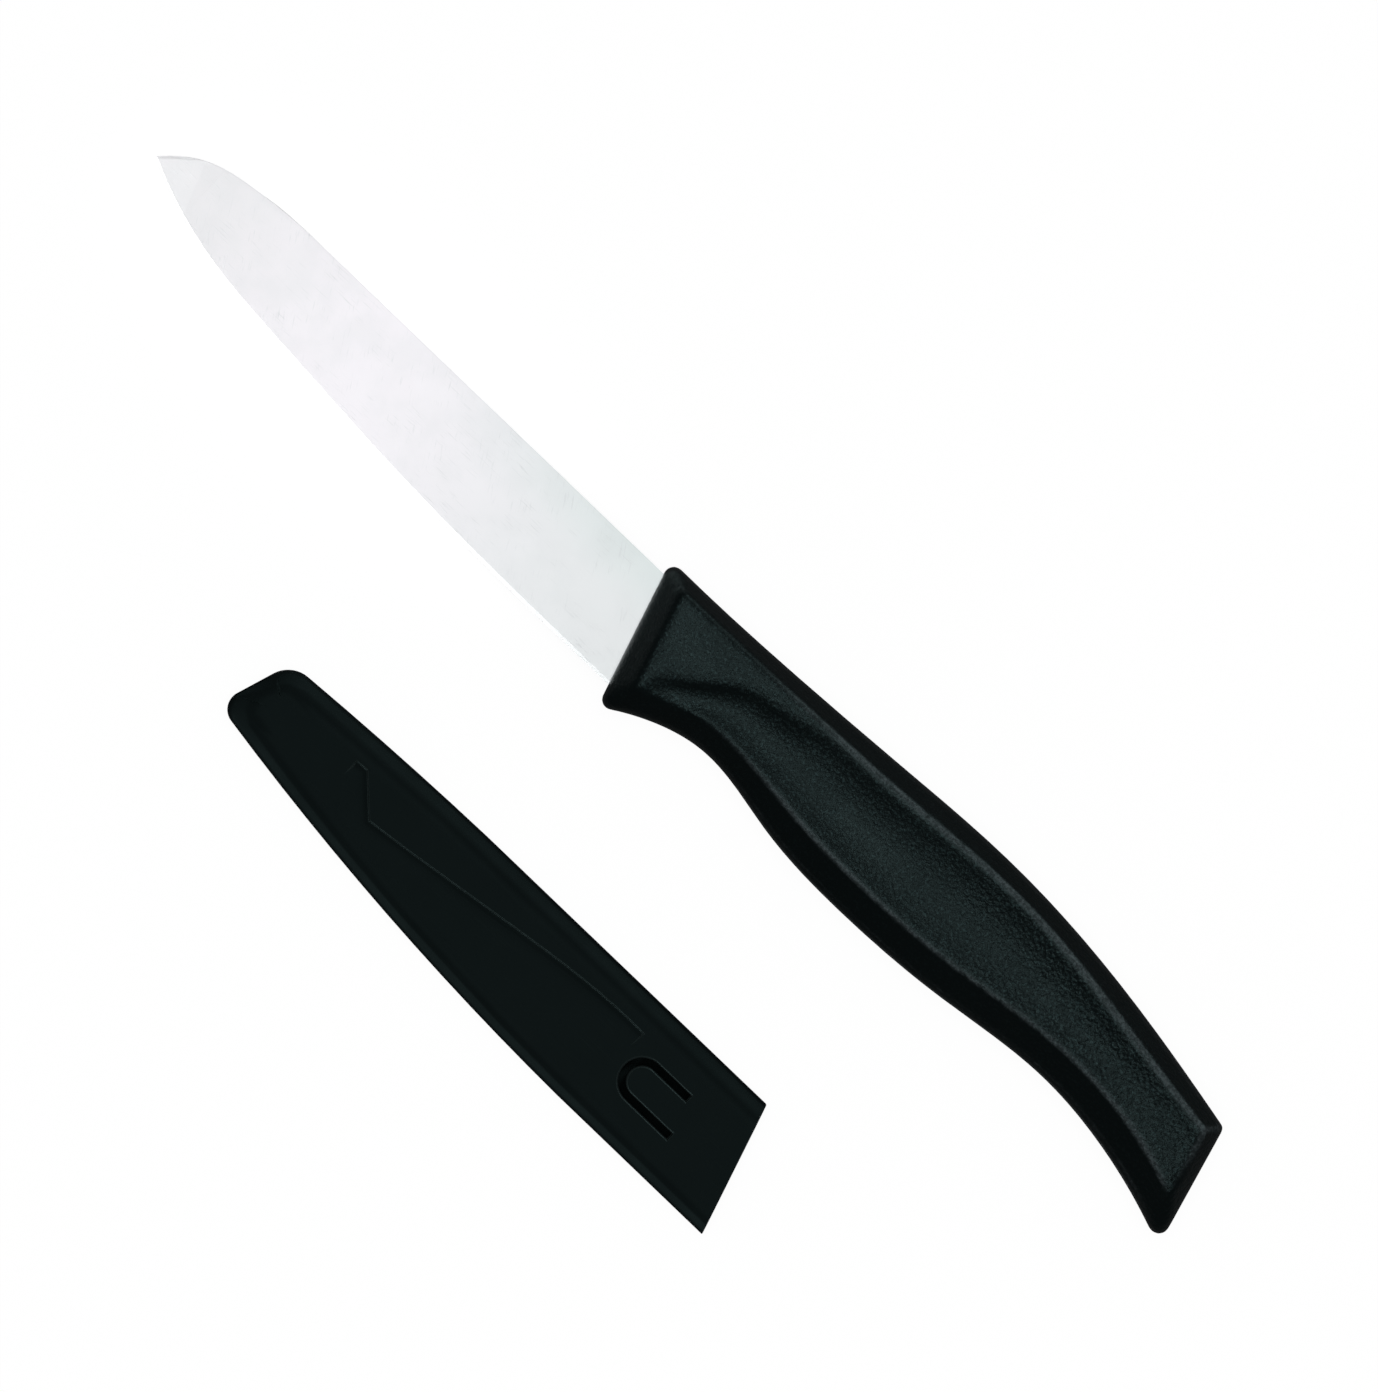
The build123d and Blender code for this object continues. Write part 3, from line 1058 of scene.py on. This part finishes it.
@dataclass
class Studio:
    """The pale table, its soft lights and the camera straight above.

    The camera's height, its sight and the table's reach are in metres. The table's glow is given
    for reflections, for reflections beside the blade and for the eye. The room's glow is given
    for reflections and for the eye.
    """

    picture: tuple[int, int] = (1378, 1392)
    pixel_size: float = 0.148
    tip_pixel: tuple[float, float] = (155.5, 156.0)
    along_direction: tuple[float, float] = (0.7213, 0.6926)
    camera_height: float = 1.6
    camera_sight: float = 12.0
    focus_height: float = 6.5
    floor_reach: float = 4.0
    floor_colour: tuple[float, ...] = (0.3, 0.3, 0.3, 1.0)
    floor_roughness: float = 0.9
    floor_glow: tuple[float, float, float] = (0.02, 0.7, 0.95)
    glow_before_heel: Span = (35.0, 15.0)
    glow_beside_edge: float = 12.0
    room_glow: Span = (0.065, 0.95)
    overhead: Lamp = Lamp("overhead", (0.0, 0.05, 2.2), 1.1, 4.95)
    steel_lamps: tuple[Lamp, ...] = (
        Lamp("steel_edge", (-0.5, -0.8, 1.3), 1.0, 8.0),
        Lamp("steel_tip", (-0.55, -1.2, 0.6), 0.8, 5.0),
        Lamp("steel_spine", (-0.8, 0.55, 1.1), 1.0, 4.0),
    )
    handle_lamps: tuple[Lamp, ...] = (
        Lamp("handle_key", (0.0, 0.08, 2.2), 0.36, 3.4),
        Lamp("spine_side", (0.15, 1.75, 1.1), 0.5, 2.6),
    )
    guard_lamps: tuple[Lamp, ...] = (
        Lamp("guard_key", (0.0, -0.03, 2.2), 1.1, 1.2),
        Lamp("guard_edge_side", (0.0, -1.6, 1.4), 0.6, 6.5),
        Lamp("guard_spine_side", (0.0, 1.1, 1.9), 0.5, 4.6),
        Lamp("guard_rim_side", (0.0, 1.6, 1.4), 0.6, 1.4),
    )

    def camera(self) -> None:
        """Set the camera above the knife, turned and placed as the photograph shows it."""
        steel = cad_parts["blade"].data
        tip_y = min(steel.vertices, key=lambda vertex: vertex.co.x).co.y
        tip = Vector((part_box("blade")[0].x, tip_y))
        right = Vector(self.along_direction)
        up = Vector((-right.y, right.x))
        middle = Vector(self.picture) / 2 - Vector(self.tip_pixel)
        centre = tip + (right * middle.x + up * -middle.y) * self.pixel_size * MM
        lens = bpy.data.cameras.new("camera")
        view = bpy.data.objects.new("camera", lens)
        bpy.context.scene.collection.objects.link(view)
        view.location = (centre.x, centre.y, self.camera_height)
        view.rotation_euler = (0.0, 0.0, math.atan2(right.y, right.x))
        reach = self.camera_height - self.focus_height * MM
        lens.sensor_fit = "VERTICAL"
        lens.angle_y = 2 * math.atan(self.picture[1] * self.pixel_size * MM / 2 / reach)
        lens.clip_end = self.camera_sight
        bpy.context.scene.camera = view

    def floor(self) -> bpy.types.Object:
        """Lay a pale table that looks white from above, stays quiet in reflections and glows in a
        patch beside the blade's edge.

        Returns:
            The table.
        """
        mesh = bpy.data.meshes.new("table")
        reach = self.floor_reach
        corners = [(-reach, -reach, 0), (reach, -reach, 0), (reach, reach, 0), (-reach, reach, 0)]
        mesh.from_pydata(corners, [], [(0, 1, 2, 3)])
        table = link_mesh("table", mesh)
        material = bpy.data.materials.new("pale_table")
        material.use_nodes = True
        graph = Graph(material.node_tree)
        surface = material.node_tree.nodes["Principled BSDF"]
        path = graph.add("ShaderNodeLightPath")
        place = graph.split(graph.add("ShaderNodeTexCoord").outputs["Object"])
        heel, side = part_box("handle")[0].x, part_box("blade")[0].y
        far, near = metres(self.glow_before_heel)
        # A glowing patch beside the blade's edge lights the steel's reflections; the eye sees the
        # table evenly white.
        near_blade = graph.calc(
            "MULTIPLY",
            graph.remap(place["X"], (heel - far, heel - near), FADE),
            graph.remap(place["Y"], (side - self.glow_beside_edge * MM, side)),
        )
        dim, bright, seen = self.floor_glow
        lit = graph.remap(near_blade, (0.0, 1.0), (dim, bright))
        to_eye = graph.calc("MULTIPLY", path.outputs["Is Camera Ray"], seen)
        graph.put(
            surface, Base_Color=self.floor_colour, Roughness=self.floor_roughness,
            Specular_IOR_Level=0.0, Emission_Color=WHITE,
            Emission_Strength=graph.calc("MAXIMUM", lit, to_eye),
        )
        table.data.materials.append(material)
        return table

    def air(self) -> None:
        """Make the room: pale to the eye, dim in reflections."""
        world = bpy.data.worlds.new("room")
        world.use_nodes = True
        graph = Graph(world.node_tree)
        path = graph.add("ShaderNodeLightPath")
        glow = graph.remap(path.outputs["Is Camera Ray"], (0.0, 1.0), self.room_glow)
        graph.put(world.node_tree.nodes["Background"], Color=WHITE, Strength=glow)
        bpy.context.scene.world = world

    def set_up(
        self, steel: bpy.types.Object, handle: bpy.types.Object, guard: bpy.types.Object
    ) -> None:
        """Set up the camera, the room, the table and the lights.

        Args:
            steel: the blade's skin.
            handle: the handle's skin.
            guard: the guard's skin.
        """
        self.camera()
        self.air()
        self.overhead.hang(steel, self.floor())
        for piece, lamps in (
            (steel, self.steel_lamps), (handle, self.handle_lamps), (guard, self.guard_lamps)
        ):
            for lamp in lamps:
                lamp.hang(piece)
        bpy.context.scene.view_settings.view_transform = "Standard"
        LOG.info("studio: camera, table and lights")


def main() -> None:
    """Dress every piece of the knife and its guard."""
    logging.basicConfig(level=logging.INFO, format="%(name)s %(message)s")
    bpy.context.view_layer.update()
    workshop = Workshop()
    steel = Blade().dress(workshop)
    handle = Handle().dress(workshop)
    guard = Guard().dress(workshop)
    Studio().set_up(steel, handle, guard)
    bpy.context.view_layer.update()


if __name__ == "__main__":
    main()
